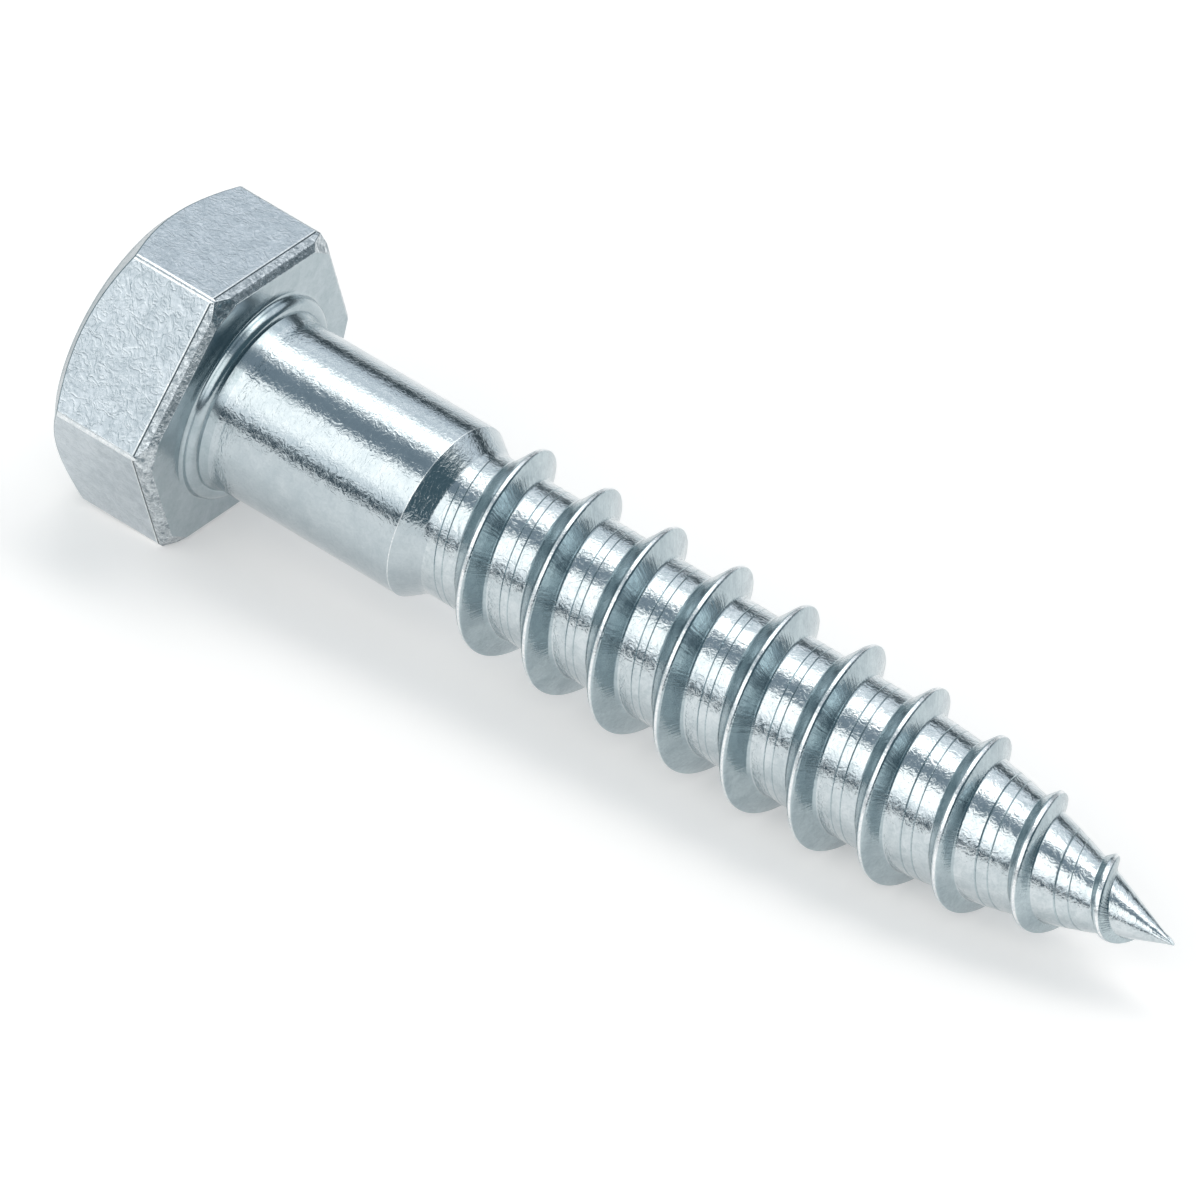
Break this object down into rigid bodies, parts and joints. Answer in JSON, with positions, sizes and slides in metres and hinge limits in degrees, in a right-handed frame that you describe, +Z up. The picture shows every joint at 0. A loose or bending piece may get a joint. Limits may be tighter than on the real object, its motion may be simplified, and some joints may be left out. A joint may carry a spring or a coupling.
{
  "type": "lag screw",
  "caption": "Hexagon-head lag screw in bright zinc plate, with plain shank, coarse wood thread and gimlet tip, lying on its side.",
  "frame": {"origin": "middle of the bounding box, on the ground that the screw lies on", "axes": "+X from the head towards the tip, level with the ground, +Z up. The screw's own axis dips by 3.83 degrees towards the tip, because the head is thicker than the thread."},
  "size_m": [0.079, 0.0218, 0.0194],
  "materials": {
    "zinc_plated_steel": "bright zinc plate over forged and rolled steel, faintly blue, with fine tool and rolling marks"
  },
  "bodies": {
    "root": {"lag_screw": "zinc_plated_steel"}
  },
  "joints": []
}
